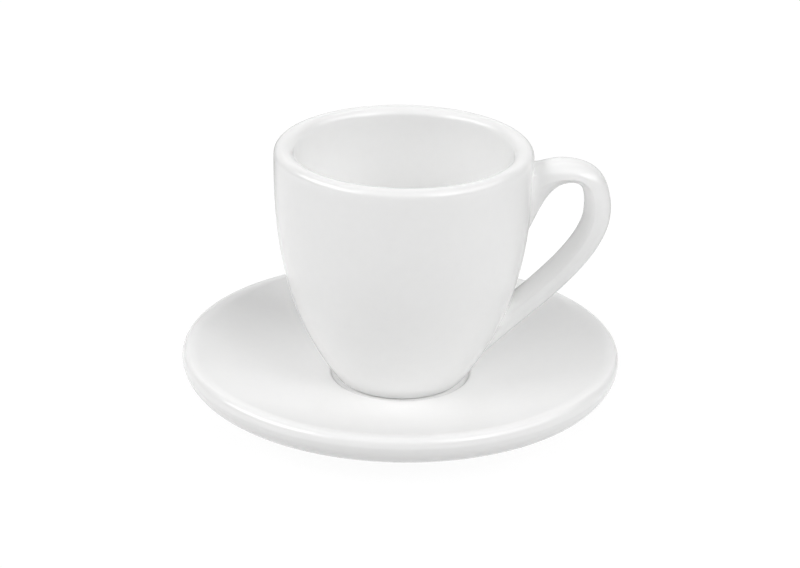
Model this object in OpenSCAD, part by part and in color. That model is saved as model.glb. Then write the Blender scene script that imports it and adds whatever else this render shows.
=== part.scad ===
// Espresso cup with its saucer, in thick white glazed porcelain.
// The cup is turned about the upright axis, its handle is a flared loop luted to the wall,
// and the saucer is turned about the same axis with a well for the cup's foot.
// The origin is on the table, under the middle of the saucer.

/* [Cup] */
// Height of the cup from its foot to its rim
cup_h = 62.4; // [56:0.1:70]
// Outer diameter of the cup at its rim
cup_d = 65.1; // [60:0.1:72]
// Thickness of the cup's wall
wall_t = 4.9; // [3.6:0.1:5.6]
// Thickness of the cup's bottom over the recess in its foot
bottom_t = 5.2; // [4:0.1:7]
// Angle from level at which the outside of the wall leaves the foot
belly_angle = 52.6; // [46:0.2:58]

/* [Lip] */
// Radius of the rounding outside the rim
lip_round = 2.2; // [1.2:0.1:2.6]

/* [Cup foot] */
// Diameter of the cup's foot
foot_d = 32.2; // [28:0.1:36]
// Width of the ring that the cup stands on
foot_ring_w = 3.2; // [2.2:0.1:4.2]
// Depth of the recess inside the foot ring
foot_recess = 1.6; // [0.8:0.1:2.6]
// Radius of the rounding at the outer edge of the foot
foot_round = 0.7; // [0.3:0.1:1.2]

/* [Handle] */
// Drop from the rim to the upper root's centre line
handle_drop = 5.8; // [5:0.1:8]
// Height of the lower root's centre line above the cup's foot
handle_low_h = 15.3; // [14:0.1:20]
// Reach of the centre line from the cup's rim
handle_reach = 16.4; // [14:0.1:19]
// Drop from the rim to the furthest point of the centre line
handle_far_drop = 16; // [13:0.1:20]
// Angle from level at which the lower arm meets the wall
arm_angle = 44; // [38:0.2:50]
// Thickness of the arch over the finger
arch_t = 5.2; // [4.4:0.1:6.4]
// Thickness of the lower arm
arm_t = 7.1; // [5.6:0.1:8]
// Width of the handle from side to side
handle_w = 9.6; // [7:0.1:11]
// Depth of the web where the upper root runs down the wall
web_drop = 11.8; // [8:0.1:14]
// Length of the arch over which the web fades away
web_run = 16; // [11:0.1:18]
// Radius of the fillet between the handle and the wall
root_fillet = 1.8; // [1:0.1:2.4]

/* [Saucer] */
// Diameter of the saucer
saucer_d = 112; // [106:0.5:120]
// Height of the well's floor above the table
well_h = 7.5; // [6.6:0.1:9]
// Thickness of the saucer in its well
saucer_floor_t = 4.5; // [3.6:0.1:5.2]
// Rise of the saucer's rim above the floor of its well
rim_rise = 8.35; // [7:0.05:9.6]

/* [Saucer well] */
// Clearance around the cup's foot in the well
well_gap = 1.8; // [1:0.1:3]
// Depth of the step around the well
well_step = 0.5; // [0.3:0.05:0.9]

/* [Saucer rim] */
// Slope of the dish beside the well
dish_start_angle = 4; // [2:0.5:6]
// Slope of the dish where the rim begins to turn over
dish_end_angle = 20; // [17:0.5:23]
// Radius over which the dish turns into the rim
crest_round = 7; // [5.5:0.1:8]
// Radius of the rounding outside the top of the rim
edge_round = 2; // [1.2:0.1:2.6]
// Radius of the rounding under the rim
under_round = 6.45; // [5:0.05:6.7]

/* [Saucer foot] */
// Diameter of the ring that the saucer stands on
stand_d = 62; // [56:0.5:66]
// Width of that ring
stand_w = 3.2; // [2.4:0.1:4.4]
// Radius of the fillets beside that ring
stand_fillet = 1.5; // [0.8:0.1:2]
// Thickness of the dish just outside that ring
dish_t = 5.4; // [4.6:0.1:6]
// Slope of the underside beside that ring
under_start_angle = 5; // [3:0.5:8]
// Slope of the underside where it turns up into the rim
under_end_angle = 14; // [11:0.5:18]

/* [Hidden] */

glaze = "white";
// Steps along a curved outline, round a corner and round the turned shapes
curve_steps = 30;
corner_steps = 8;
turn_steps = 120;

// Wall curve: how far its two control points lie along it, as shares of its height
belly_reach_share = 0.402;
mouth_reach_share = 0.349;
// Place on the wall curve below which the inside rounds into its floor
floor_round_share = 0.2;
// Rounding at the inner edges of the two standing rings, as a share of each ring's width
ring_round_share = 0.2;

// Handle curve: how far its four control points lie along it
arch_pull_share = 0.56;
arch_rise_share = 1.2;
arm_drop_share = 0.35;
arm_pull_share = 0.31;
// Rings along each half of the handle and along its buried end, points round its section and
// the powers that shape its outer side, its inner side and the web
handle_rings = 22;
buried_rings = 12;
section_points = 28;
outer_power = 2.1;
inner_power = 2.8;
web_power = 4.1;
// Place on the arch up to which it keeps its own thickness
thin_share = 0.5;
// Length of each root that lies inside the wall before the wall is cut away, as shares of the
// wall's thickness and of the arm's
top_bury_share = 0.5;
low_bury_share = 1.6;

// Width of the well's step and place of its rounding, as shares of its depth
step_run_share = 2;
step_lean_share = 0.5;

// Points of a cubic curve with the control points a, b, c, d
function cubic(a, b, c, d, t) =
    a * pow(1 - t, 3) + 3 * b * t * pow(1 - t, 2) + 3 * c * t * t * (1 - t) + d * pow(t, 3);
// Direction of that curve, as a unit vector
function cubic_way(a, b, c, d, t) =
    let (v = (b - a) * pow(1 - t, 2) + 2 * (c - b) * t * (1 - t) + (d - c) * t * t) v / norm(v);
// Corner from a to c that is rounded towards b, without its first point
function corner(a, b, c) = [
    for (i = [1:corner_steps])
        let (t = i / corner_steps) a * pow(1 - t, 2) + 2 * b * t * (1 - t) + c * t * t
];
// Arc about a centre from one angle to another, with two radii where they differ
function arc(centre, radii, from, to) = [
    for (i = [0:corner_steps])
        let (a = from + (to - from) * i / corner_steps)
            centre + [radii.x * cos(a), radii.y * sin(a)]
];
// Point where a line from p along way reaches the height h
function at_height(p, way, h) = p + way * (h - p.y) / way.y;

// Cup
foot_r = foot_d / 2;
rim_r = cup_d / 2;
wall_h = cup_h - lip_round;
inside_h = foot_recess + bottom_t;
wall_a = [foot_r, 0];
wall_b = wall_a + belly_reach_share * wall_h * [cos(belly_angle), sin(belly_angle)];
wall_d = [rim_r, wall_h];
wall_c = wall_d - [0, mouth_reach_share * wall_h];

function outside(t) = cubic(wall_a, wall_b, wall_c, wall_d, t);
function outside_way(t) = cubic_way(wall_a, wall_b, wall_c, wall_d, t);
// The inside lies one wall thickness from the outside, square to it
function inside(t) = outside(t) + wall_t * [-outside_way(t).y, outside_way(t).x];

wall_points = [for (i = [0:curve_steps]) outside(i / curve_steps)];
// Radius of the outside at a height above the foot
function wall_r(h) = lookup(h, [for (p = wall_points) [p.y, p.x]]);

lip_c = [rim_r - lip_round, wall_h];
lip_points = arc(lip_c, [lip_round, lip_round], 0, 90);
foot_end = [wall_r(foot_round), foot_round];
floor_corner = at_height(inside(floor_round_share), outside_way(floor_round_share), inside_h);

module cup_outline() {
    ring_in = foot_r - foot_round - foot_ring_w;
    ring_round = foot_ring_w * ring_round_share;
    polygon(concat(
        [[0, foot_recess]],
        [[ring_in - foot_recess, foot_recess]],
        corner([ring_in - ring_round, ring_round], [ring_in, 0], [ring_in + ring_round, 0]),
        [[foot_r - foot_round, 0]],
        corner([foot_r - foot_round, 0], wall_a, foot_end),
        [for (p = wall_points) if (p.y > foot_round) p],
        lip_points,
        arc(lip_c, [wall_t - lip_round, lip_round], 90, 180),
        [for (i = [1:curve_steps]) inside(1 - (1 - floor_round_share) * i / curve_steps)],
        corner(inside(floor_round_share), floor_corner, [floor_corner.x / 2, inside_h]),
        [[0, inside_h]]
    ));
}

module cup_body() {
    color(glaze)
        translate([0, 0, well_h])
            rotate_extrude($fn = turn_steps)
                cup_outline();
}

// Handle, drawn in its own upright plane: x from the cup's axis and y up from its foot
handle_top_h = cup_h - handle_drop;
handle_far_h = cup_h - handle_far_drop;
top_root = [wall_r(handle_top_h), handle_top_h];
far_point = [rim_r + handle_reach, handle_far_h];
low_root = [wall_r(handle_low_h), handle_low_h];
arm_way = [cos(arm_angle), sin(arm_angle)];
arch_b = top_root + [arch_pull_share * handle_reach, 0];
arch_c = far_point + [0, arch_rise_share * (handle_top_h - handle_far_h)];
arm_b = far_point - [0, arm_drop_share * (handle_far_h - handle_low_h)];
arm_c = low_root + arm_pull_share * (handle_far_h - handle_low_h) * arm_way;

// A ring of the handle is its place, its direction, its half thickness and the extra depth of
// the web on its inner side. The rings lie closer together towards both roots.
function arch_half_t(t) =
    (arch_t + (arm_t - arch_t) * max(0, t - thin_share) / (1 - thin_share)) / 2;
function web(x) = web_drop * pow(min(1, max(0, 1 - (x - top_root.x) / web_run)), web_power);
function arch_ring(t) =
    let (p = cubic(top_root, arch_b, arch_c, far_point, t))
        [p, cubic_way(top_root, arch_b, arch_c, far_point, t), arch_half_t(t), web(p.x)];
function arm_ring(t) = [
    cubic(far_point, arm_b, arm_c, low_root, t),
    cubic_way(far_point, arm_b, arm_c, low_root, t),
    arm_t / 2,
    0
];
function buried_ring(depth) = [low_root - arm_way * depth, -arm_way, arm_t / 2, 0];
low_bury = arm_t * low_bury_share;
rings = concat(
    [[top_root - [wall_t * top_bury_share, 0], [1, 0], arch_t / 2, web_drop]],
    [for (i = [0:handle_rings]) arch_ring(1 - cos(90 * i / handle_rings))],
    [for (i = [1:handle_rings]) arm_ring(sin(90 * i / handle_rings))],
    [for (i = [1:buried_rings]) buried_ring(low_bury * i / buried_rings)]
);

// Fillet's push to the side at a gap from the wall
function fillet_push(gap) = root_fillet * pow(1 - min(max(gap / root_fillet, 0), 1), 2);
// Superellipse coordinate of an angle's cosine or sine
function rounded(v, power) = sign(v) * pow(abs(v), 2 / power);

// One point of a ring, k steps round its section
function section_point(ring, k) =
    let (
        a = 360 * k / section_points,
        power = cos(a) > 0 ? outer_power : inner_power,
        out = [-ring[1].y, ring[1].x],
        depth = ring[2] + (cos(a) > 0 ? 0 : ring[3]),
        u = depth * rounded(cos(a), power),
        side = handle_w / 2 * rounded(sin(a), power),
        p = ring[0] + out * u,
        push = fillet_push(norm([p.x, side]) - wall_r(p.y))
    )
        [p.x, side + push * sin(a), p.y];

module handle_loop() {
    last = len(rings) - 1;
    points = [for (ring = rings) for (k = [0:section_points - 1]) section_point(ring, k)];
    skin = [
        for (i = [0:last - 1])
            for (k = [0:section_points - 1])
                let (
                    a = i * section_points + k,
                    b = i * section_points + (k + 1) % section_points,
                    c = b + section_points,
                    d = a + section_points
                )
                    each [[a, b, c], [a, c, d]]
    ];
    first_end = [for (k = [1:section_points - 2]) [0, k + 1, k]];
    base = last * section_points;
    far_end = [for (k = [1:section_points - 2]) [base, base + k, base + k + 1]];
    polyhedron(points, concat(skin, first_end, far_end));
}

// The solid that the outside of the cup encloses
module cup_envelope() {
    rotate_extrude($fn = turn_steps)
        polygon(concat([[0, 0]], wall_points, lip_points, [[0, cup_h]]));
}

module cup_handle() {
    color(glaze)
        translate([0, 0, well_h])
            difference() {
                handle_loop();
                cup_envelope();
            }
}

// Saucer, drawn with y up from the table
saucer_r = saucer_d / 2;
stand_r = stand_d / 2;
well_r = foot_r + well_gap;
rim_h = well_h + rim_rise;
recess_h = well_h - saucer_floor_t;

// Top: a step round the well, a dish that steepens outwards and a rim that turns over
edge_c = [saucer_r - edge_round, rim_h - edge_round];
crest_c = [edge_c.x, rim_h - crest_round];
dish_start = [well_r + well_step * step_run_share, well_h + well_step];
step_c = well_r + well_step * step_lean_share;
step_corner = [step_c, dish_start.y - (dish_start.x - step_c) * tan(dish_start_angle)];
dish_end = crest_c + crest_round * [-sin(dish_end_angle), cos(dish_end_angle)];
dish_pull = (dish_end.x - dish_start.x) / 3;
dish_b = dish_start + dish_pull * [1, tan(dish_start_angle)];
dish_c = dish_end - dish_pull * [1, tan(dish_end_angle)];
dish_points = [
    for (i = [1:curve_steps])
        cubic(dish_start, dish_b, dish_c, dish_end, i / curve_steps)
];

// Underside: a fillet beside the standing ring and a slope out to the rim
under_start_x = stand_r + stand_fillet;
under_start = [under_start_x, lookup(under_start_x, dish_points) - dish_t];
under_c = [saucer_r - under_round, edge_c.y];
under_end = under_c + under_round * [sin(under_end_angle), -cos(under_end_angle)];
under_pull = (under_end.x - under_start.x) / 3;
under_b = under_start + under_pull * [1, tan(under_start_angle)];
under_d = under_end - under_pull * [1, tan(under_end_angle)];
stand_top = [stand_r, under_start.y - stand_fillet * tan(under_start_angle)];

module saucer_outline() {
    stand_in = stand_r - stand_w;
    stand_round = stand_w * ring_round_share;
    recess_end = [stand_in - stand_fillet, recess_h];
    polygon(concat(
        [[0, recess_h]],
        [recess_end],
        corner(recess_end, [stand_in, recess_h], [stand_in, recess_h - stand_fillet]),
        corner([stand_in, stand_round], [stand_in, 0], [stand_in + stand_round, 0]),
        [[stand_r - stand_round, 0]],
        corner([stand_r - stand_round, 0], [stand_r, 0], [stand_r, stand_round]),
        [stand_top - [0, stand_fillet]],
        corner(stand_top - [0, stand_fillet], stand_top, under_start),
        [for (i = [1:curve_steps]) cubic(under_start, under_b, under_d, under_end, i / curve_steps)],
        arc(under_c, [under_round, under_round], under_end_angle - 90, 0),
        arc(edge_c, [edge_round, edge_round], 0, 90),
        arc(crest_c, [crest_round, crest_round], 90, 90 + dish_end_angle),
        [for (i = [2:curve_steps]) dish_points[curve_steps - i]],
        [dish_start],
        corner(dish_start, step_corner, [well_r, well_h]),
        [[0, well_h]]
    ));
}

module saucer() {
    color(glaze)
        rotate_extrude($fn = turn_steps)
            saucer_outline();
}

cup_body();
cup_handle();
saucer();
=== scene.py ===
import math

import bmesh
import bpy
from mathutils import Matrix, Vector


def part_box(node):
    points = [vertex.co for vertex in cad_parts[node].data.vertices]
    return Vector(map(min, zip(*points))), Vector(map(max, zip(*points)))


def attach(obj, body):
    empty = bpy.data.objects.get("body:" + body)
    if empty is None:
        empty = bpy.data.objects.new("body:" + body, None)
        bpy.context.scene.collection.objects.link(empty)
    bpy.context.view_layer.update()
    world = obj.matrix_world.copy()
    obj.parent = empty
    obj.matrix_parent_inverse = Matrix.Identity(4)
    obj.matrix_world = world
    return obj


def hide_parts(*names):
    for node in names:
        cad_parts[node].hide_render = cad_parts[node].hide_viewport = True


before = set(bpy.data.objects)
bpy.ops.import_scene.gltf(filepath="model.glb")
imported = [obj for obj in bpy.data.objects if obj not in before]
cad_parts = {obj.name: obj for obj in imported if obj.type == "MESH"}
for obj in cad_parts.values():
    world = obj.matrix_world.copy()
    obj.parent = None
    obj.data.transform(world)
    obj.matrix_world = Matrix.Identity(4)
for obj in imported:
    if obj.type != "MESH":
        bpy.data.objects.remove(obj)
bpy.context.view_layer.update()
print("frame loaded")

mm = 0.001


# A point of a cubic curve
def curvePoint(a, b, c, d, t):
    u = 1 - t
    return tuple(
        u**3 * p + 3 * u * u * t * q + 3 * u * t * t * r + t**3 * s
        for p, q, r, s in zip(a, b, c, d)
    )


# Points of a cubic curve, its start left out
def curve(a, b, c, d, count):
    return [curvePoint(a, b, c, d, i / count) for i in range(1, count + 1)]


# Direction of a cubic curve as an angle above level
def curveAngle(a, b, c, d, t):
    u = 1 - t
    x, z = (
        u * u * (q - p) + 2 * u * t * (r - q) + t * t * (s - r)
        for p, q, r, s in zip(a, b, c, d)
    )
    return math.atan2(z, x)


# Points of an arc, its start left out
def arc(x, z, radius, start, end, count):
    points = []
    for i in range(1, count + 1):
        a = math.radians(start + (end - start) * i / count)
        points.append((x + radius * math.cos(a), z + radius * math.sin(a)))
    return points


def mix(a, b, share):
    return tuple(p + (q - p) * share for p, q in zip(a, b))


# Rounded corner from a to c, its start left out
def corner(a, b, c, count):
    return curve(a, mix(a, b, 2 / 3), mix(c, b, 2 / 3), c, count)


# Points between two ends in equal steps, the first left out
def straight(a, b, count):
    return [mix(a, b, i / count) for i in range(1, count + 1)]


# The point at a distance from a, at an angle above level
def step(a, angle, length):
    return (
        a[0] + length * math.cos(math.radians(angle)),
        a[1] + length * math.sin(math.radians(angle)),
    )


def slope(angle):
    return math.tan(math.radians(angle))


def editMode():
    bpy.ops.object.mode_set(mode="EDIT")


def objectMode():
    bpy.ops.object.mode_set(mode="OBJECT")


# Selects the points of a piece in edit mode that pass a test
def pick(piece, wanted):
    mesh = bmesh.from_edit_mesh(piece.data)
    mesh.verts.ensure_lookup_table()
    bpy.ops.mesh.select_all(action="DESELECT")
    for vertex in mesh.verts:
        if wanted(vertex):
            vertex.select = True
    mesh.select_flush(True)
    bmesh.update_edit_mesh(piece.data)


def applyModifier(piece, kind, name, **values):
    modifier = piece.modifiers.new(name, kind)
    for key, value in values.items():
        setattr(modifier, key, value)
    bpy.context.view_layer.objects.active = piece
    bpy.ops.object.modifier_apply(modifier=modifier.name)


# A turned solid: a circle is extruded ring by ring along the outline
def turned(name, outline, facets):
    radius, height = outline[0]
    bpy.ops.object.select_all(action="DESELECT")
    bpy.ops.mesh.primitive_circle_add(
        vertices=facets, radius=radius, location=(0, 0, height)
    )
    piece = bpy.context.object
    piece.name = name
    bpy.ops.object.transform_apply(location=True, rotation=True, scale=True)
    editMode()
    bpy.ops.mesh.select_all(action="SELECT")
    for nextRadius, nextHeight in outline[1:]:
        bpy.ops.mesh.extrude_edges_move(
            TRANSFORM_OT_translate={"value": (0, 0, nextHeight - height)}
        )
        grow = nextRadius / radius
        bpy.ops.transform.resize(
            value=(grow, grow, 1), center_override=(0, 0, nextHeight)
        )
        radius, height = nextRadius, nextHeight
    # The last ring and the first close to a point each
    bpy.ops.mesh.merge(type="CENTER")
    pick(piece, lambda vertex: vertex.index < facets)
    bpy.ops.mesh.merge(type="CENTER")
    bpy.ops.mesh.select_all(action="SELECT")
    bpy.ops.mesh.normals_make_consistent(inside=False)
    objectMode()
    return piece


def smooth(piece, angle=60):
    bpy.ops.object.select_all(action="DESELECT")
    piece.select_set(True)
    bpy.context.view_layer.objects.active = piece
    bpy.ops.object.shade_smooth_by_angle(angle=math.radians(angle))


# Cup
cupLow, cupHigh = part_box("cup_body")
cup = {
    "foot": cupLow.z,
    "height": cupHigh.z - cupLow.z,
    "radius": cupHigh.x,
    "wall": 4.9 * mm,
    "footRadius": 16.1 * mm,
    "footRing": 3.2 * mm,
    "footRound": 0.7 * mm,
    "ringRoundShare": 0.2,
    "recess": 1.6 * mm,
    "bottom": 5.2 * mm,
    "lip": 2.2 * mm,
    "belly": 52.6,  # degrees above level at the foot
    "bellyShare": 0.402,
    "mouthShare": 0.349,
    "floorShare": 0.2,
    "wallFrom": 1.3 * mm,  # the foot's rounded corner ends below this
    "wallSteps": 34,
    "insideSteps": 26,
    "lipSteps": 8,
    "pole": 0.3 * mm,
    "facets": 128,
}
wallHeight = cup["height"] - cup["lip"]
wallA = (cup["footRadius"], 0)
wallB = step(wallA, cup["belly"], cup["bellyShare"] * wallHeight)
wallC = (cup["radius"], wallHeight * (1 - cup["mouthShare"]))
wallD = (cup["radius"], wallHeight)


def wallPoint(t):
    return curvePoint(wallA, wallB, wallC, wallD, t)


# A point of the wall moved towards the inside by a depth
def wallInside(t, depth):
    x, z = wallPoint(t)
    a = curveAngle(wallA, wallB, wallC, wallD, t)
    return (x - depth * math.sin(a), z + depth * math.cos(a))


# The wall's outer radius at a height above the foot, found by halving
def wallRadius(height):
    low, high = 0.0, 1.0
    for _ in range(30):
        middle = (low + high) / 2
        if wallPoint(middle)[1] < height:
            low = middle
        else:
            high = middle
    return wallPoint(low)[0]


def cupOutline():
    ringOut = cup["footRadius"] - cup["footRound"]
    ringIn = ringOut - cup["footRing"]
    ringRound = cup["footRing"] * cup["ringRoundShare"]
    insideHeight = cup["recess"] + cup["bottom"]
    lipX = cup["radius"] - cup["lip"]
    # Recess and standing ring
    points = [(cup["pole"], cup["recess"])]
    points += straight(points[-1], (ringIn - cup["recess"], cup["recess"]), 8)
    points += straight(points[-1], (ringIn - ringRound, ringRound), 3)
    points += corner(points[-1], (ringIn, 0), (ringIn + ringRound, 0), 4)
    points += straight(points[-1], (ringOut, 0), 3)
    footTop = (wallRadius(cup["footRound"]), cup["footRound"])
    points += corner(points[-1], wallA, footTop, 5)
    # Outside, and a lip that is wider inwards than outwards
    wall = curve(wallA, wallB, wallC, wallD, cup["wallSteps"])
    points += [point for point in wall if point[1] > cup["wallFrom"]]
    points += arc(lipX, wallHeight, cup["lip"], 0, 90, cup["lipSteps"])
    inner = cup["wall"] - cup["lip"]
    for i in range(1, cup["lipSteps"] + 1):
        a = math.radians(90 + 90 * i / cup["lipSteps"])
        points.append(
            (lipX + inner * math.cos(a), wallHeight + cup["lip"] * math.sin(a))
        )
    # Inside, down to its floor
    share, count = cup["floorShare"], cup["insideSteps"]
    points += [
        wallInside(1 - (1 - share) * i / count, cup["wall"])
        for i in range(1, count + 1)
    ]
    x, z = points[-1]
    a = curveAngle(wallA, wallB, wallC, wallD, share)
    cornerX = x + (insideHeight - z) / math.tan(a)
    points += corner(
        points[-1], (cornerX, insideHeight), (cornerX / 2, insideHeight), 10
    )
    points += straight(points[-1], (cup["pole"], insideHeight), 5)
    return [(x, z + cup["foot"]) for x, z in points]


cupBody = turned("cupBody", cupOutline(), cup["facets"])
applyModifier(cupBody, "SUBSURF", "rounding", levels=1, render_levels=1)
smooth(cupBody)
print("cup body", len(cupBody.data.polygons))

# Handle
handle = {
    "drop": 5.8 * mm,  # upper root below the rim
    "lowHeight": 15.3 * mm,  # lower root above the foot
    "reach": 16.4 * mm,
    "farDrop": 16.0 * mm,
    "angle": 44,
    "archThickness": 5.2 * mm,
    "armThickness": 7.1 * mm,
    "thinShare": 0.5,  # part of the arch before it thickens
    "width": 9.6 * mm,
    "archPull": 0.56,
    "archRise": 1.2,
    "armDrop": 0.35,
    "armPull": 0.31,
    "webDrop": 11.8 * mm,
    "webRun": 16 * mm,
    "webPower": 4.1,
    "webLean": 0.7,  # how steeply the web goes on inside the wall
    "dip": 1.7 * mm,  # the arch is lower at the wall
    "dipRun": 7 * mm,
    "dipPower": 1.6,
    "crown": 0.3 * mm,  # and higher at its top
    "shoulder": 0.2 * mm,  # and flatter where it turns down
    "turnStart": 0.45,
    "turnRun": 0.4,
    "shoulderRun": 0.4,
    "outerRound": 0.93,  # the section, on a plane from -1 to 1
    "innerRound": 0.95,
    "innerProfile": 0.43,
    "roundSteps": 8,
    "innerFrom": -0.9,
    "merge": 0.02,
    "middle": 0.02,
    "ridge": -0.22,  # widest place, towards the inner side
    "fillet": 2.6 * mm,
    "filletSink": 0.6 * mm,
    "filletPower": 1.5,
    "filletNear": 0.93,  # keeps the fillet from turning upright at the wall
    "rings": 28,
    "rootRings": 4,
    "rootShare": 0.5,  # of the wall that the upper root goes in
    "buried": 11 * mm,
    "buriedRings": 22,
    "sink": 1.2 * mm,  # the ends stop this far under the cup's surface
    "sinkSteps": 40,
}


# Each ring: place, angle, half thickness, web below and dip above
def handleRings():
    topHeight = cup["height"] - handle["drop"]
    farHeight = cup["height"] - handle["farDrop"]
    top = (wallRadius(topHeight), topHeight)
    far = (cup["radius"] + handle["reach"], farHeight)
    low = (wallRadius(handle["lowHeight"]), handle["lowHeight"])
    archB = (top[0] + handle["archPull"] * handle["reach"], top[1])
    archC = (far[0], far[1] + handle["archRise"] * (topHeight - farHeight))
    armLength = farHeight - handle["lowHeight"]
    armB = (far[0], far[1] - handle["armDrop"] * armLength)
    armC = step(low, handle["angle"], handle["armPull"] * armLength)
    thin, thick = handle["archThickness"] / 2, handle["armThickness"] / 2
    rings = []
    # Upper root, inside the wall
    webSlope = (
        handle["webLean"] * handle["webPower"] * handle["webDrop"] / handle["webRun"]
    )
    for i in range(handle["rootRings"], 0, -1):
        inward = cup["wall"] * handle["rootShare"] * i / handle["rootRings"]
        web = handle["webDrop"] + webSlope * inward
        dip = handle["dip"] - handle["crown"]
        rings.append((top[0] - inward, top[1], 0.0, thin, web, dip))
    # Arch, its rings closest at the wall
    count = handle["rings"]
    for i in range(count + 1):
        t = 1 - math.cos(math.pi / 2 * i / count)
        x, z = top if t == 0 else curvePoint(top, archB, archC, far, t)
        angle = curveAngle(top, archB, archC, far, t) if t > 0 else 0.0
        thicker = max(0, t - handle["thinShare"]) / (1 - handle["thinShare"])
        half = thin + (thick - thin) * thicker
        fade = min(1, max(0, 1 - (x - top[0]) / handle["webRun"]))
        web = handle["webDrop"] * fade ** handle["webPower"]
        rise = max(0, 1 - (x - top[0]) / handle["dipRun"])
        dip = handle["dip"] * rise ** handle["dipPower"]
        turn = min(1, max(0, (t - handle["turnStart"]) / handle["turnRun"]))
        dip += (handle["crown"] + handle["shoulder"]) * turn - handle["crown"]
        rings.append((x, z, angle, half, web, dip))
    # Arm
    for i in range(1, count + 1):
        t = math.sin(math.pi / 2 * i / count)
        x, z = curvePoint(far, armB, armC, low, t)
        angle = curveAngle(far, armB, armC, low, t)
        dip = handle["shoulder"] * max(0, 1 - t / handle["shoulderRun"])
        rings.append((x, z, angle, thick, 0, dip))
    # Lower root, inside the wall
    inwards = handle["angle"] - 180
    for i in range(1, handle["buriedRings"] + 1):
        length = handle["buried"] * i / handle["buriedRings"]
        rings.append((*step(low, inwards, length), math.radians(inwards), thick, 0, 0))
    return [(x, z + cup["foot"], *others) for x, z, *others in rings]


# The handle's section, rounder on its outer side
def handleSection():
    bpy.ops.object.select_all(action="DESELECT")
    bpy.ops.mesh.primitive_plane_add(size=2, location=(0, 0, 0))
    piece = bpy.context.object
    editMode()
    pick(piece, lambda vertex: vertex.co.x > 0)
    bpy.ops.mesh.bevel(
        offset=handle["outerRound"], segments=handle["roundSteps"], affect="VERTICES"
    )
    pick(piece, lambda vertex: vertex.co.x < handle["innerFrom"])
    bpy.ops.mesh.bevel(
        offset=handle["innerRound"],
        segments=handle["roundSteps"],
        profile=handle["innerProfile"],
        affect="VERTICES",
    )
    bpy.ops.mesh.select_all(action="SELECT")
    bpy.ops.mesh.remove_doubles(threshold=handle["merge"])
    bpy.ops.mesh.delete(type="ONLY_FACE")
    # Leaving edit mode and coming back numbers the points anew
    objectMode()
    editMode()
    # The widest place moves from the middle towards the inner side
    for side in (1, -1):
        pick(piece, lambda vertex: side * (vertex.co.x - handle["middle"]) > 0)
        grow = (side - handle["ridge"]) / side
        bpy.ops.transform.resize(value=(grow, 1, 1), center_override=(side, 0, 0))
    bpy.ops.mesh.select_all(action="SELECT")
    return piece


# Scales what is picked across the handle's path
def stretchAcross(factor, angle, centre):
    bpy.ops.transform.resize(
        value=(factor, 1, 1),
        orient_type="GLOBAL",
        orient_matrix=Matrix.Rotation(-(angle + math.pi / 2), 3, "Y"),
        orient_matrix_type="GLOBAL",
        center_override=centre,
    )


def sweep(rings):
    x, z, angle, half = rings[0][:4]
    bpy.ops.transform.resize(
        value=(half, handle["width"] / 2, 1), center_override=(0, 0, 0)
    )
    bpy.ops.transform.rotate(
        value=math.pi / 2, orient_axis="Y", center_override=(0, 0, 0)
    )
    bpy.ops.transform.translate(value=(x, 0, z))
    for nextX, nextZ, nextAngle, nextHalf, *_ in rings[1:]:
        bpy.ops.mesh.extrude_edges_move(
            TRANSFORM_OT_translate={"value": (nextX - x, 0, nextZ - z)}
        )
        centre = (nextX, 0, nextZ)
        bpy.ops.transform.rotate(
            value=nextAngle - angle, orient_axis="Y", center_override=centre
        )
        stretchAcross(nextHalf / half, nextAngle, centre)
        x, z, angle, half = nextX, nextZ, nextAngle, nextHalf


# The web grows below the arch, and the arch thins above, towards the wall
def shapeSides(piece, rings, count):
    for k, (x, z, angle, half, web, dip) in enumerate(rings):
        for side, change in ((-1, web), (1, -dip)):
            if abs(change) < 0.02 * mm:
                continue
            out = Vector((-math.sin(angle), 0, math.cos(angle))) * side
            centre = Vector((x, 0, z))
            pick(
                piece,
                lambda vertex: k * count <= vertex.index < (k + 1) * count
                and (vertex.co - centre).dot(out) > 0.01 * mm,
            )
            stretchAcross((half + change) / half, angle, centre)


def buildHandle():
    rings = handleRings()
    piece = handleSection()
    count = len(bmesh.from_edit_mesh(piece.data).verts)
    sweep(rings)
    shapeSides(piece, rings, count)
    # Both ends are closed
    last = (len(rings) - 1) * count
    pick(piece, lambda vertex: vertex.index >= last)
    bpy.ops.mesh.edge_face_add()
    pick(piece, lambda vertex: vertex.index < count)
    bpy.ops.mesh.edge_face_add()
    bpy.ops.mesh.select_all(action="SELECT")
    bpy.ops.mesh.normals_make_consistent(inside=False)
    objectMode()
    return piece


# The fillet: the handle spreads sideways as it nears the wall
def flare(piece):
    left = piece.vertex_groups.new(name="left")
    right = piece.vertex_groups.new(name="right")
    half = handle["width"] / 2
    for vertex in piece.data.vertices:
        x, y, z = vertex.co
        gap = math.hypot(x, y) - wallRadius(z - cup["foot"])
        gap += handle["filletSink"]
        near = 1 - min(1, max(0, gap / handle["fillet"]))
        near = min(handle["filletNear"], near)
        push = 1 - math.sqrt(max(0, 1 - near * near))
        weight = push * min(1, abs(y) / half) ** handle["filletPower"]
        if weight > 0:
            (right if y > 0 else left).add([vertex.index], weight, "REPLACE")
    for name, side in (("left", -1), ("right", 1)):
        applyModifier(
            piece,
            "DISPLACE",
            name,
            direction="Y",
            mid_level=0,
            strength=side * handle["fillet"],
            vertex_group=name,
        )


# The cup's outside, a little under its surface
def envelopeOutline():
    sink, count = handle["sink"], handle["sinkSteps"]
    points = [(cup["pole"], sink)]
    points += straight(points[-1], wallInside(0, sink), 4)
    points += [wallInside(i / count, sink) for i in range(1, count + 1)]
    points += straight(points[-1], (cup["pole"], points[-1][1]), 4)
    return [(x, z + cup["foot"]) for x, z in points]


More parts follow.
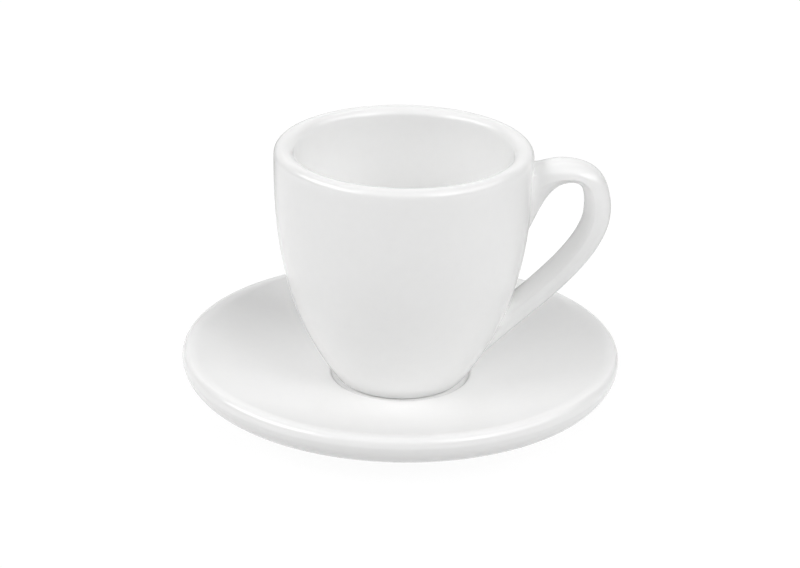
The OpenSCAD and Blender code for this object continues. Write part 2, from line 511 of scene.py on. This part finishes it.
cupHandle = buildHandle()
cupHandle.name = "cupHandle"
flare(cupHandle)
applyModifier(cupHandle, "SUBSURF", "rounding", levels=2, render_levels=2)
envelope = turned("envelope", envelopeOutline(), cup["facets"])
applyModifier(cupHandle, "BOOLEAN", "seat", operation="DIFFERENCE", object=envelope)
bpy.data.objects.remove(envelope)
smooth(cupHandle)
print("handle", len(cupHandle.data.polygons))

# Saucer
_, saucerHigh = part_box("saucer")
saucer = {
    "radius": min(saucerHigh.x, saucerHigh.y),
    "rim": saucerHigh.z,
    "well": cup["foot"],
    "floor": 4.5 * mm,
    "wellRadius": 17.6 * mm,
    "wellStep": 0.7 * mm,
    "stepRun": 0.9 * mm,
    "stepLean": 0.25,
    "startAngle": 4,
    "endAngle": 17,
    "rimDrop": 0.15 * mm,
    "crest": 9 * mm,
    "edgeWidth": 1.5 * mm,
    "edgeHeight": 2.4 * mm,
    "edgeSteps": 8,
    "dishSteps": 30,
    "underDrop": 2 * mm,
    "under": 6.45 * mm,
    "underStop": -6,  # degrees, where the under curve meets the edge
    "underSteps": 16,
    "standRadius": 31 * mm,
    "standRing": 3.2 * mm,
    "standFillet": 1.5 * mm,
    "ringRoundShare": 0.2,
    "dish": 5.4 * mm,  # thickness beside the standing ring
    "underStart": 5,
    "underEnd": 14,
    "pole": 0.3 * mm,
    "facets": 128,
}


# Control points that leave a and reach b at their own angles
def gentle(a, b, startAngle, endAngle):
    pull = (b[0] - a[0]) / 3
    return (
        (a[0] + pull, a[1] + pull * slope(startAngle)),
        (b[0] - pull, b[1] - pull * slope(endAngle)),
    )


def saucerOutline():
    rim = saucer["rim"] - saucer["rimDrop"]
    crestX, crestZ = saucer["radius"] - saucer["edgeWidth"], rim - saucer["crest"]
    # Top, from the well to the crest of the rim
    dishStart = (
        saucer["wellRadius"] + saucer["stepRun"],
        saucer["well"] + saucer["wellStep"],
    )
    dishEnd = step((crestX, crestZ), 90 + saucer["endAngle"], saucer["crest"])
    dishB, dishC = gentle(
        dishStart, dishEnd, saucer["startAngle"], saucer["endAngle"]
    )
    dish = [dishStart]
    dish += curve(dishStart, dishB, dishC, dishEnd, saucer["dishSteps"])
    # Underside, from the standing ring to the curve under the edge
    underX = saucer["standRadius"] + saucer["standFillet"]
    above = min(dish, key=lambda point: abs(point[0] - underX))
    underStart = (underX, above[1] - saucer["dish"])
    underC = (
        saucer["radius"] - saucer["under"],
        saucer["rim"] - saucer["underDrop"],
    )
    underEnd = step(underC, saucer["underEnd"] - 90, saucer["under"])
    underB, underD = gentle(
        underStart, underEnd, saucer["underStart"], saucer["underEnd"]
    )
    recess = saucer["well"] - saucer["floor"]
    ringOut = saucer["standRadius"]
    ringIn = ringOut - saucer["standRing"]
    ringRound = saucer["standRing"] * saucer["ringRoundShare"]
    fillet = saucer["standFillet"]
    # Recess and standing ring
    points = [(saucer["pole"], recess)]
    points += straight(points[-1], (ringIn - fillet, recess), 12)
    points += corner(points[-1], (ringIn, recess), (ringIn, recess - fillet), 5)
    points += straight(points[-1], (ringIn, ringRound), 2)
    points += corner(points[-1], (ringIn, 0), (ringIn + ringRound, 0), 4)
    points += straight(points[-1], (ringOut - ringRound, 0), 3)
    points += corner(points[-1], (ringOut, 0), (ringOut, ringRound), 4)
    points += [(ringOut, underStart[1] - fillet)]
    points += corner(points[-1], (ringOut, underStart[1]), underStart, 5)
    points += curve(underStart, underB, underD, underEnd, saucer["underSteps"])
    points += arc(
        *underC, saucer["under"], saucer["underEnd"] - 90, saucer["underStop"], 10
    )
    # Oval edge
    for i in range(saucer["edgeSteps"] + 1):
        a = math.pi / 2 * i / saucer["edgeSteps"]
        points.append(
            (
                crestX + saucer["edgeWidth"] * math.cos(a),
                rim + saucer["edgeHeight"] * (math.sin(a) - 1),
            )
        )
    # Back over the crest and down into the well
    points += arc(crestX, crestZ, saucer["crest"], 90, 90 + saucer["endAngle"], 4)
    points += list(reversed(dish[:-1]))
    stepX = saucer["wellRadius"] + saucer["stepLean"] * saucer["stepRun"]
    stepZ = dishStart[1] - (dishStart[0] - stepX) * slope(saucer["startAngle"])
    wellEdge = (saucer["wellRadius"], saucer["well"])
    points += corner(dishStart, (stepX, stepZ), wellEdge, 5)
    points += straight(points[-1], (saucer["pole"], saucer["well"]), 8)
    return points


saucerDish = turned("saucerDish", saucerOutline(), saucer["facets"])
applyModifier(saucerDish, "SUBSURF", "rounding", levels=1, render_levels=1)
smooth(saucerDish)
print("saucer", len(saucerDish.data.polygons))


# Nodes
def node(tree, kind, **values):
    made = tree.nodes.new(kind)
    for key, value in values.items():
        setattr(made, key, value)
    return made


# The socket of that name that its node shows
def shownSocket(sockets, name):
    return next(found for found in sockets if found.name == name and found.enabled)


# Joins an output, or a plain number, to an input
def feed(tree, value, socket):
    if isinstance(value, (int, float)):
        socket.default_value = value
    else:
        tree.links.new(value, socket)


def maths(tree, operation, *values):
    made = node(tree, "ShaderNodeMath", operation=operation)
    for value, socket in zip(values, made.inputs):
        feed(tree, value, socket)
    return made.outputs[0]


# A value that climbs from 0 at low to 1 at high
def ramp(tree, value, low, high):
    made = node(tree, "ShaderNodeMapRange", interpolation_type="SMOOTHSTEP")
    feed(tree, value, made.inputs["Value"])
    made.inputs["From Min"].default_value = low
    made.inputs["From Max"].default_value = high
    return made.outputs[0]


def noise(tree, place, scale, detail=2, rough=0.5):
    made = node(tree, "ShaderNodeTexNoise")
    tree.links.new(place, made.inputs["Vector"])
    made.inputs["Scale"].default_value = scale
    made.inputs["Detail"].default_value = detail
    made.inputs["Roughness"].default_value = rough
    return made.outputs["Fac"]


# A noise around 0, up to half of that size either way
def wander(tree, value, size):
    return maths(tree, "MULTIPLY", maths(tree, "SUBTRACT", value, 0.5), size)


def newGroup(name, inputs, outputs):
    tree = bpy.data.node_groups.new(name, "ShaderNodeTree")
    for label, kind in inputs:
        tree.interface.new_socket(name=label, in_out="INPUT", socket_type=kind)
    for label, kind in outputs:
        tree.interface.new_socket(name=label, in_out="OUTPUT", socket_type=kind)
    return tree, node(tree, "NodeGroupInput"), node(tree, "NodeGroupOutput")


# Glaze
glaze = {
    "white": (0.93, 0.93, 0.927),
    "roughness": 0.07,
    "index": 1.52,
    "waveScale": 55,
    "peelScale": 700,
    "pinholeScale": 230,
    "pinholePick": 0.93,  # only cells above this have one
    "pinholeCore": 0.015,
    "pinholeEdge": 0.04,
    "pinholeDepth": 0.02 * mm,
    "pinholeShade": 0.18,
    "cloudScale": 38,
    "cloudTone": 0.035,
    "grainScale": 420,
    "grainTone": 0.03,
    "sheenScale": 90,
    "sheenSpread": 0.05,
    "clay": (0.70, 0.69, 0.665),
    "clayRoughness": 0.75,
    "clayScale": 1800,
    "clayGrain": 0.05 * mm,
    "raggedScale": 300,
    "ragged": 0.5 * mm,
    "ringFade": 0.1 * mm,
    "clayFull": 0.25 * mm,  # bare up to here above the ring's foot
    "clayNone": 0.45 * mm,
}
finishes = {
    "cupGlaze": {"Wave Depth": 0.02 * mm, "Peel Depth": 0.0008 * mm, "Pinholes": 1},
    "handleGlaze": {"Wave Depth": 0.02 * mm, "Peel Depth": 0.001 * mm, "Pinholes": 1},
    "saucerGlaze": {"Wave Depth": 0.02 * mm, "Peel Depth": 0.0008 * mm, "Pinholes": 1},
}


# Faults that a glaze has all over: slow waves, fine peel, pinholes, cloudy tone
def glazeFaults():
    tree, given, result = newGroup(
        "glazeFaults",
        [
            ("Place", "NodeSocketVector"),
            ("Wave Depth", "NodeSocketFloat"),
            ("Peel Depth", "NodeSocketFloat"),
            ("Pinholes", "NodeSocketFloat"),
        ],
        [
            ("Tone", "NodeSocketFloat"),
            ("Roughness", "NodeSocketFloat"),
            ("Normal", "NodeSocketVector"),
        ],
    )
    place = given.outputs["Place"]
    waves = noise(tree, place, glaze["waveScale"], 1)
    peel = noise(tree, place, glaze["peelScale"], 2)
    # Pinholes, in a few cells only
    cells = node(tree, "ShaderNodeTexVoronoi")
    tree.links.new(place, cells.inputs["Vector"])
    cells.inputs["Scale"].default_value = glaze["pinholeScale"]
    size = node(tree, "ShaderNodeSeparateColor")
    tree.links.new(cells.outputs["Color"], size.inputs[0])
    chosen = maths(tree, "GREATER_THAN", size.outputs[0], glaze["pinholePick"])
    away = ramp(
        tree, cells.outputs["Distance"], glaze["pinholeCore"], glaze["pinholeEdge"]
    )
    pits = maths(tree, "MULTIPLY", maths(tree, "SUBTRACT", 1, away), chosen)
    pits = maths(tree, "MULTIPLY", pits, given.outputs["Pinholes"])
    # Height of the surface
    deep = maths(tree, "MULTIPLY", waves, given.outputs["Wave Depth"])
    fine = maths(tree, "MULTIPLY", peel, given.outputs["Peel Depth"])
    height = maths(tree, "ADD", deep, fine)
    holes = maths(tree, "MULTIPLY", pits, glaze["pinholeDepth"])
    height = maths(tree, "SUBTRACT", height, holes)
    bump = node(tree, "ShaderNodeBump")
    bump.inputs["Distance"].default_value = 1
    tree.links.new(height, bump.inputs["Height"])
    # Tone, darkened in the pinholes as painted shade, and sheen as roughness
    clouds = noise(tree, place, glaze["cloudScale"], 3)
    grain = noise(tree, place, glaze["grainScale"], 3, 0.7)
    tone = maths(
        tree,
        "ADD",
        wander(tree, clouds, glaze["cloudTone"]),
        wander(tree, grain, glaze["grainTone"]),
    )
    tone = maths(tree, "ADD", 1, tone)
    shade = maths(tree, "MULTIPLY", pits, glaze["pinholeShade"])
    tone = maths(tree, "SUBTRACT", tone, shade)
    sheen = noise(tree, place, glaze["sheenScale"], 2)
    rough = maths(tree, "MULTIPLY", sheen, glaze["sheenSpread"])
    tree.links.new(tone, result.inputs["Tone"])
    tree.links.new(rough, result.inputs["Roughness"])
    tree.links.new(bump.outputs[0], result.inputs["Normal"])
    return tree


# The bare clay of a standing ring: a mask with a slightly ragged edge
def bareRing():
    tree, given, result = newGroup(
        "bareRing",
        [
            ("Place", "NodeSocketVector"),
            ("Ring Height", "NodeSocketFloat"),
            ("Ring Radius", "NodeSocketFloat"),
            ("Half Width", "NodeSocketFloat"),
        ],
        [("Mask", "NodeSocketFloat"), ("Normal", "NodeSocketVector")],
    )
    place = given.outputs["Place"]
    # Distance from the axis
    parts = node(tree, "ShaderNodeSeparateXYZ")
    tree.links.new(place, parts.inputs[0])
    flat = node(tree, "ShaderNodeCombineXYZ")
    tree.links.new(parts.outputs[0], flat.inputs[0])
    tree.links.new(parts.outputs[1], flat.inputs[1])
    length = node(tree, "ShaderNodeVectorMath", operation="LENGTH")
    tree.links.new(flat.outputs[0], length.inputs[0])
    # The ring, across and upwards
    ragged = wander(tree, noise(tree, place, glaze["raggedScale"], 3), glaze["ragged"])
    off = maths(
        tree, "SUBTRACT", length.outputs["Value"], given.outputs["Ring Radius"]
    )
    off = maths(tree, "ABSOLUTE", off)
    across = maths(tree, "SUBTRACT", off, given.outputs["Half Width"])
    across = maths(tree, "ADD", across, ragged)
    past = ramp(tree, across, -glaze["ringFade"], glaze["ringFade"])
    inRing = maths(tree, "SUBTRACT", 1, past)
    above = maths(tree, "SUBTRACT", parts.outputs[2], given.outputs["Ring Height"])
    above = maths(tree, "ADD", above, ragged)
    high = ramp(tree, above, glaze["clayFull"], glaze["clayNone"])
    low = maths(tree, "SUBTRACT", 1, high)
    # Grain of the clay
    bump = node(tree, "ShaderNodeBump")
    bump.inputs["Distance"].default_value = 1
    clay = noise(tree, place, glaze["clayScale"], 4, 0.7)
    clay = maths(tree, "MULTIPLY", clay, glaze["clayGrain"])
    tree.links.new(clay, bump.inputs["Height"])
    tree.links.new(maths(tree, "MULTIPLY", inRing, low), result.inputs["Mask"])
    tree.links.new(bump.outputs[0], result.inputs["Normal"])
    return tree


faults, bare = glazeFaults(), bareRing()


def glazeMaterial(name, ring=None):
    material = bpy.data.materials.new(name)
    material.use_nodes = True
    tree = material.node_tree
    shader = tree.nodes["Principled BSDF"]
    place = node(tree, "ShaderNodeTexCoord").outputs["Object"]
    surface = node(tree, "ShaderNodeGroup", node_tree=faults)
    tree.links.new(place, surface.inputs["Place"])
    for label, value in finishes[name].items():
        surface.inputs[label].default_value = value
    colour = node(tree, "ShaderNodeVectorMath", operation="SCALE")
    colour.inputs[0].default_value = glaze["white"]
    tree.links.new(surface.outputs["Tone"], colour.inputs["Scale"])
    rough = maths(tree, "ADD", surface.outputs["Roughness"], glaze["roughness"])
    colourOut, normalOut = colour.outputs[0], surface.outputs["Normal"]
    # Clay shows on the standing ring
    if ring:
        clay = node(tree, "ShaderNodeGroup", node_tree=bare)
        tree.links.new(place, clay.inputs["Place"])
        for label, value in zip(("Ring Height", "Ring Radius", "Half Width"), ring):
            clay.inputs[label].default_value = value
        mask = clay.outputs["Mask"]
        mixed = node(tree, "ShaderNodeMix", data_type="RGBA")
        tree.links.new(mask, shownSocket(mixed.inputs, "Factor"))
        tree.links.new(colourOut, shownSocket(mixed.inputs, "A"))
        shownSocket(mixed.inputs, "B").default_value = (*glaze["clay"], 1)
        colourOut = shownSocket(mixed.outputs, "Result")
        normals = node(tree, "ShaderNodeMix", data_type="VECTOR")
        tree.links.new(mask, shownSocket(normals.inputs, "Factor"))
        tree.links.new(normalOut, shownSocket(normals.inputs, "A"))
        tree.links.new(clay.outputs["Normal"], shownSocket(normals.inputs, "B"))
        normalOut = shownSocket(normals.outputs, "Result")
        glazed = maths(tree, "MULTIPLY", rough, maths(tree, "SUBTRACT", 1, mask))
        bared = maths(tree, "MULTIPLY", mask, glaze["clayRoughness"])
        rough = maths(tree, "ADD", glazed, bared)
    tree.links.new(colourOut, shader.inputs["Base Color"])
    tree.links.new(rough, shader.inputs["Roughness"])
    tree.links.new(normalOut, shader.inputs["Normal"])
    shader.inputs["IOR"].default_value = glaze["index"]
    return material


# Height, middle radius and half width of each standing ring
cupRing = (
    cup["foot"],
    cup["footRadius"] - cup["footRound"] - cup["footRing"] / 2,
    cup["footRing"] / 2,
)
saucerRing = (
    0,
    saucer["standRadius"] - saucer["standRing"] / 2,
    saucer["standRing"] / 2,
)
glazedPieces = {
    "cup_body": (cupBody, glazeMaterial("cupGlaze", cupRing)),
    "cup_handle": (cupHandle, glazeMaterial("handleGlaze")),
    "saucer": (saucerDish, glazeMaterial("saucerGlaze", saucerRing)),
}
for name, (piece, material) in glazedPieces.items():
    for mesh in (piece.data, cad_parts[name].data):
        mesh.materials.clear()
        mesh.materials.append(material)
print("glaze", len(glazedPieces))

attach(cupBody, "cup")
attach(cupHandle, "cup")
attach(saucerDish, "saucer")
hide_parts("cup_body")
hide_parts("cup_handle")
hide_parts("saucer")
print("pieces on their bodies")

# Floor
ground = {
    "size": 8,
    "drop": 0.2 * mm,
    "grey": 0.7,  # how much light it throws back
    "white": 1.06,  # what the camera and reflections see
    "share": 0.9,  # the rest is left to the shadow
    "dimming": 0.6,  # painted dark reflection: reflections see that much less of it behind the object
    "dimLean": 0.4,  # and more so towards its right
    "dimFrom": 0.04,
    "dimTo": 0.16,
}
bpy.ops.object.select_all(action="DESELECT")
bpy.ops.mesh.primitive_plane_add(
    size=ground["size"], location=(0, 0, -ground["drop"])
)
floor = bpy.context.object
floor.name = "floor"
floorWhite = bpy.data.materials.new("floorWhite")
floorWhite.use_nodes = True
tree = floorWhite.node_tree
tree.nodes.clear()
output = node(tree, "ShaderNodeOutputMaterial")
diffuse = node(tree, "ShaderNodeBsdfDiffuse")
diffuse.inputs["Color"].default_value = (*[ground["grey"]] * 3, 1)
glow = node(tree, "ShaderNodeEmission")
rays = node(tree, "ShaderNodeLightPath")
glossy = rays.outputs["Is Glossy Ray"]
shown = maths(tree, "MAXIMUM", rays.outputs["Is Camera Ray"], glossy)
share = maths(tree, "MULTIPLY", shown, ground["share"])
# Painted dark reflection: only glossy rays see the floor dimmer behind the object and
# towards its right, while the camera sees it white
spot = node(tree, "ShaderNodeSeparateXYZ")
tree.links.new(node(tree, "ShaderNodeTexCoord").outputs["Object"], spot.inputs[0])
lean = maths(tree, "MULTIPLY", spot.outputs[0], ground["dimLean"])
behind = maths(tree, "ADD", spot.outputs[1], lean)
behind = ramp(tree, behind, ground["dimFrom"], ground["dimTo"])
paintedDarkReflection = maths(tree, "MULTIPLY", glossy, behind)
paintedDarkReflection = maths(tree, "MULTIPLY", paintedDarkReflection, ground["dimming"] * ground["white"])
strength = maths(tree, "SUBTRACT", ground["white"], paintedDarkReflection)
blend = node(tree, "ShaderNodeMixShader")
tree.links.new(strength, glow.inputs["Strength"])
tree.links.new(share, blend.inputs[0])
tree.links.new(diffuse.outputs[0], blend.inputs[1])
tree.links.new(glow.outputs[0], blend.inputs[2])
tree.links.new(blend.outputs[0], output.inputs[0])
floor.data.materials.append(floorWhite)
print("floor")

# Surround
# Azimuth from the camera's side to the right, elevation, width, height, brightness
lamps = {
    "right": (72, 36, 56, 24, 4.0),
    "rightFront": (38, 36, 22, 22, 5.3),
    "rightTop": (52, 60, 36, 18, 2.0),
    "left": (-76, 36, 56, 24, 5.9),
    "leftFront": (-38, 36, 22, 22, 1.0),
    "leftTop": (-52, 60, 36, 18, 1.2),
    "front": (0, 42, 36, 18, 2.1),
    "backTop": (180, 60, 60, 24, 1.1),
    "backLow": (180, 10, 100, 20, 1.06),
    "backMiddle": (180, 30, 90, 18, 1.15),
}
room = {
    "dim": 0.01,  # between the lamps
    "lampPower": 3,  # outline of a lamp, 2 is an oval and more is squarer
    "lampFull": 0.55,
    "lampNone": 1.45,
}


# How bright a soft lamp is in a direction, fading out at its edges
def softLamp():
    tree, given, result = newGroup(
        "softLamp",
        [
            ("Direction", "NodeSocketVector"),
            ("Centre", "NodeSocketVector"),
            ("Across", "NodeSocketVector"),
            ("Upwards", "NodeSocketVector"),
            ("Half Width", "NodeSocketFloat"),
            ("Half Height", "NodeSocketFloat"),
            ("Brightness", "NodeSocketFloat"),
        ],
        [("Value", "NodeSocketFloat")],
    )

    def along(name):
        made = node(tree, "ShaderNodeVectorMath", operation="DOT_PRODUCT")
        tree.links.new(given.outputs["Direction"], made.inputs[0])
        tree.links.new(given.outputs[name], made.inputs[1])
        return made.outputs["Value"]

    ahead = maths(tree, "MAXIMUM", along("Centre"), 0.0001)
    total = 0
    for name, limit in (("Across", "Half Width"), ("Upwards", "Half Height")):
        offset = maths(tree, "DIVIDE", along(name), ahead)
        offset = maths(tree, "DIVIDE", offset, given.outputs[limit])
        offset = maths(tree, "ABSOLUTE", offset)
        offset = maths(tree, "POWER", offset, room["lampPower"])
        total = maths(tree, "ADD", offset, total)
    reach = maths(tree, "POWER", total, 1 / room["lampPower"])
    outside = ramp(tree, reach, room["lampFull"], room["lampNone"])
    inside = maths(tree, "SUBTRACT", 1, outside)
    front = maths(tree, "GREATER_THAN", along("Centre"), 0.001)
    value = maths(tree, "MULTIPLY", inside, front)
    value = maths(tree, "MULTIPLY", value, given.outputs["Brightness"])
    tree.links.new(value, result.inputs["Value"])
    return tree


world = bpy.data.worlds.new("surround")
bpy.context.scene.world = world
world.use_nodes = True
surround = world.node_tree
surround.nodes.clear()
direction = node(surround, "ShaderNodeTexCoord").outputs["Generated"]
lampGroup = softLamp()


def softbox(azimuth, elevation, width, height, brightness):
    a, e = math.radians(azimuth), math.radians(elevation)
    made = node(surround, "ShaderNodeGroup", node_tree=lampGroup)
    surround.links.new(direction, made.inputs["Direction"])
    across, level = (math.cos(a), math.sin(a), 0), (math.sin(a), -math.cos(a), 0)
    made.inputs["Centre"].default_value = (
        level[0] * math.cos(e),
        level[1] * math.cos(e),
        math.sin(e),
    )
    made.inputs["Across"].default_value = across
    made.inputs["Upwards"].default_value = (
        -level[0] * math.sin(e),
        -level[1] * math.sin(e),
        math.cos(e),
    )
    made.inputs["Half Width"].default_value = slope(width / 2)
    made.inputs["Half Height"].default_value = slope(height / 2)
    made.inputs["Brightness"].default_value = brightness
    return made.outputs["Value"]


total = room["dim"]
for lamp in lamps.values():
    total = maths(surround, "ADD", softbox(*lamp), total)
output = node(surround, "ShaderNodeOutputWorld")
lit = node(surround, "ShaderNodeBackground")
surround.links.new(total, lit.inputs["Strength"])
# The camera sees plain white instead of the lamps
white = node(surround, "ShaderNodeBackground")
white.inputs["Color"].default_value = (1, 1, 1, 1)
rays = node(surround, "ShaderNodeLightPath")
blend = node(surround, "ShaderNodeMixShader")
surround.links.new(rays.outputs["Is Camera Ray"], blend.inputs[0])
surround.links.new(lit.outputs[0], blend.inputs[1])
surround.links.new(white.outputs[0], blend.inputs[2])
surround.links.new(blend.outputs[0], output.inputs[0])
print("lamps", len(lamps))

# Camera
view = {
    "lens": 118.775,
    "sensor": 36,
    "place": (-0.42 * mm, -618.25 * mm, 295.68 * mm),
    "down": 23.07,  # degrees below level
    "roll": 1.01,
}
camera = bpy.data.objects.new("camera", bpy.data.cameras.new("camera"))
bpy.context.scene.collection.objects.link(camera)
camera.data.lens = view["lens"]
camera.data.sensor_width = view["sensor"]
camera.matrix_world = (
    Matrix.Translation(view["place"])
    @ Matrix.Rotation(math.radians(90 - view["down"]), 4, "X")
    @ Matrix.Rotation(math.radians(view["roll"]), 4, "Z")
)
bpy.context.scene.camera = camera
bpy.context.scene.view_settings.view_transform = "Standard"
print("camera")

print("done")
